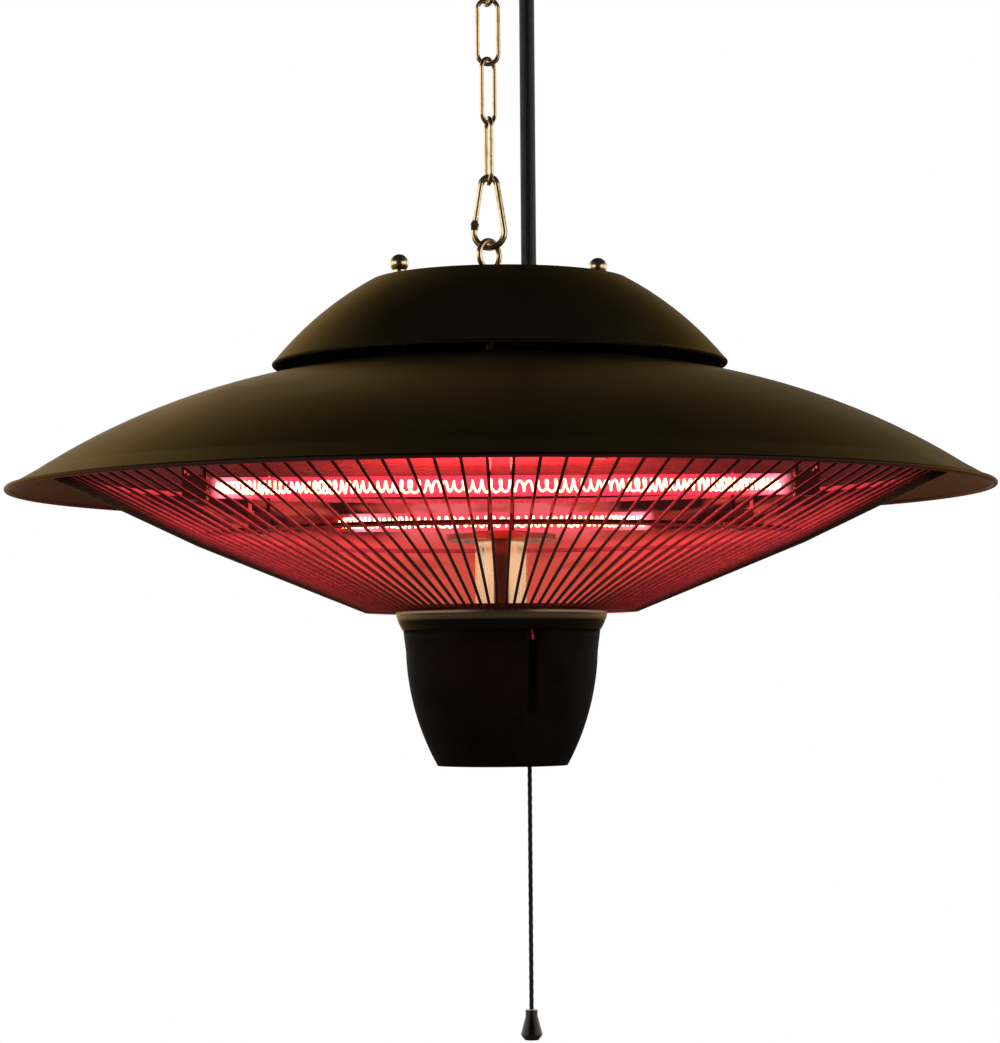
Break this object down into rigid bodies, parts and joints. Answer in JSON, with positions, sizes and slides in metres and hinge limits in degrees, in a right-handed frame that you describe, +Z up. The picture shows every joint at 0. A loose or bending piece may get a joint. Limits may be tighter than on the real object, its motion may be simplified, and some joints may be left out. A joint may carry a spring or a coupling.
{
  "type": "ceiling patio heater",
  "caption": "Hanging electric heater on a chain: round spun canopy and vented cap, wire grille over quartz tubes, pull-cord switch cup.",
  "frame": {"origin": "centre of the ceiling plate's top face, where it meets the ceiling", "axes": "+Z up, +X to the right and +Y away from the viewer as pictured"},
  "size_m": [0.605, 0.605, 0.7126],
  "materials": {
    "bronze_paint": "satin dark bronze",
    "bezel_bronze": "satin bronze",
    "antique_brass": "antique",
    "cable_rubber": "satin",
    "polished_sheet": "polished",
    "polished_post": "polished",
    "wire_finish": "dark bronze",
    "zinc_steel": "zinc plated",
    "quartz": "clear quartz",
    "hot_wire": "glowing resistance wire",
    "ceramic": "dark glazed ceramic",
    "cup_moulding": "fine satin",
    "switch_plastic": "moulded",
    "block_plastic": "moulded",
    "lead_sleeve": "woven glass sleeve",
    "pull_braid": "braided",
    "knob_plastic": "moulded"
  },
  "bodies": {
    "ceiling_fitting": {"ceiling_plate": "bronze_paint", "ceiling_hook": "antique_brass", "hook_nut": "antique_brass", "cable_outlet": "bronze_paint"},
    "chain": {"chain_link_top": "antique_brass", "mains_cable": "cable_rubber"},
    "link_1": {"chain_link_1": "antique_brass"},
    "link_2": {"chain_link_2": "antique_brass"},
    "link_3": {"chain_link_3": "antique_brass"},
    "hook": {"snap_hook_body": "antique_brass", "gate_pin": "antique_brass"},
    "gate": {"snap_hook_gate": "antique_brass"},
    "switch_cord": {"pull_cord_inner": "pull_braid"},
    "hanging_cord": {"pull_cord": "pull_braid", "pull_knob": "knob_plastic"},
    "lever": {"switch_lever": "switch_plastic"},
    "rotor": {"switch_rotor": "switch_plastic"},
    "heater": {"hanging_eye": "antique_brass", "eye_nut": "zinc_steel", "cable_gland": "cable_rubber", "terminal_block": "block_plastic", "top_cap": "bronze_paint", "cap_studs": "zinc_steel", "ball_nuts": "antique_brass", "upper_sleeves": "wire_finish", "lower_sleeves": "zinc_steel", "stud_nuts": "zinc_steel", "frame_bar": "zinc_steel", "canopy": "bronze_paint", "reflector": "polished_sheet", "post_neck": "polished_post", "hub_flange": "polished_post", "central_post": "polished_post", "post_base_plate": "polished_sheet", "grille_wires": "wire_finish", "grille_top_ring": "wire_finish", "grille_mid_hoop": "wire_finish", "grille_foot_ring": "wire_finish", "grille_clips": "zinc_steel", "cup_bezel": "bezel_bronze", "cup_housing": "cup_moulding", "cup_screws": "zinc_steel", "quartz_tube_front": "quartz", "quartz_tube_back": "quartz", "filament_front": "hot_wire", "filament_back": "hot_wire", "ceramic_holders_front": "ceramic", "ceramic_holders_back": "ceramic", "tube_brackets_front": "wire_finish", "tube_brackets_back": "wire_finish", "lead_wires": "lead_sleeve", "switch_wires": "lead_sleeve", "thermal_cutout": "block_plastic", "switch_bracket": "zinc_steel", "switch_body": "switch_plastic", "cord_bushing": "switch_plastic"}
  },
  "joints": [
    {"name": "chain_swing", "type": "hinge", "parent": "ceiling_fitting", "child": "chain", "pos_m": [-0.006, 0, -0.0374], "axis": [1, 0, 0], "range_deg": [-12, 12]},
    {"name": "link_1_turn", "type": "hinge", "parent": "chain", "child": "link_1", "pos_m": [-0.006, 0, -0.09077], "axis": [0, 0, 1], "range_deg": [-13, 1]},
    {"name": "link_2_turn", "type": "hinge", "parent": "chain", "child": "link_2", "pos_m": [-0.006, 0, -0.12807], "axis": [0, 0, 1], "range_deg": [-4, 3]},
    {"name": "link_3_turn", "type": "hinge", "parent": "chain", "child": "link_3", "pos_m": [-0.006, 0, -0.16537], "axis": [0, 0, 1], "range_deg": [-2, 6]},
    {"name": "hook_turn", "type": "hinge", "parent": "chain", "child": "hook", "pos_m": [-0.006, 0, -0.20185], "axis": [0, 0, 1], "range_deg": [-6, 2]},
    {"name": "gate_swing", "type": "hinge", "parent": "hook", "child": "gate", "pos_m": [-0.01482, 0.00093, -0.21143], "axis": [0.1045, 0.9945, 0], "range_deg": [0, 14], "stiffness_Nm_per_rad": 0.02, "springref_deg": -22.92},
    {"name": "heater_tilt", "type": "hinge", "parent": "chain", "child": "heater", "pos_m": [-0.006, 0, -0.22575], "axis": [1, 0, 0], "range_deg": [-10, 10], "deforming": ["mains_cable"]},
    {"name": "cord_pull", "type": "slide", "parent": "heater", "child": "switch_cord", "axis": [0, 0, -1], "range_m": [0, 0.01], "stiffness_N_per_m": 500, "springref_m": -0.012},
    {"name": "cord_swing", "type": "hinge", "parent": "switch_cord", "child": "hanging_cord", "pos_m": [0.0165, 0, -0.54539], "axis": [0, 1, 0], "range_deg": [-15, 15]},
    {"name": "lever_rock", "type": "hinge", "parent": "heater", "child": "lever", "pos_m": [-0.0075, 0, -0.49589], "axis": [0, 1, 0], "range_deg": [0, 23.6]},
    {"name": "rotor_step", "type": "hinge", "parent": "heater", "child": "rotor", "pos_m": [-0.019, 0, -0.49589], "axis": [0, 1, 0], "range_deg": [0, 90.5]}
  ],
  "couplings": [
    {"joint": "lever_rock", "follows": "cord_pull", "rad_per_m": 41.015},
    {"joint": "rotor_step", "follows": "cord_pull", "rad_per_m": 157.08}
  ]
}
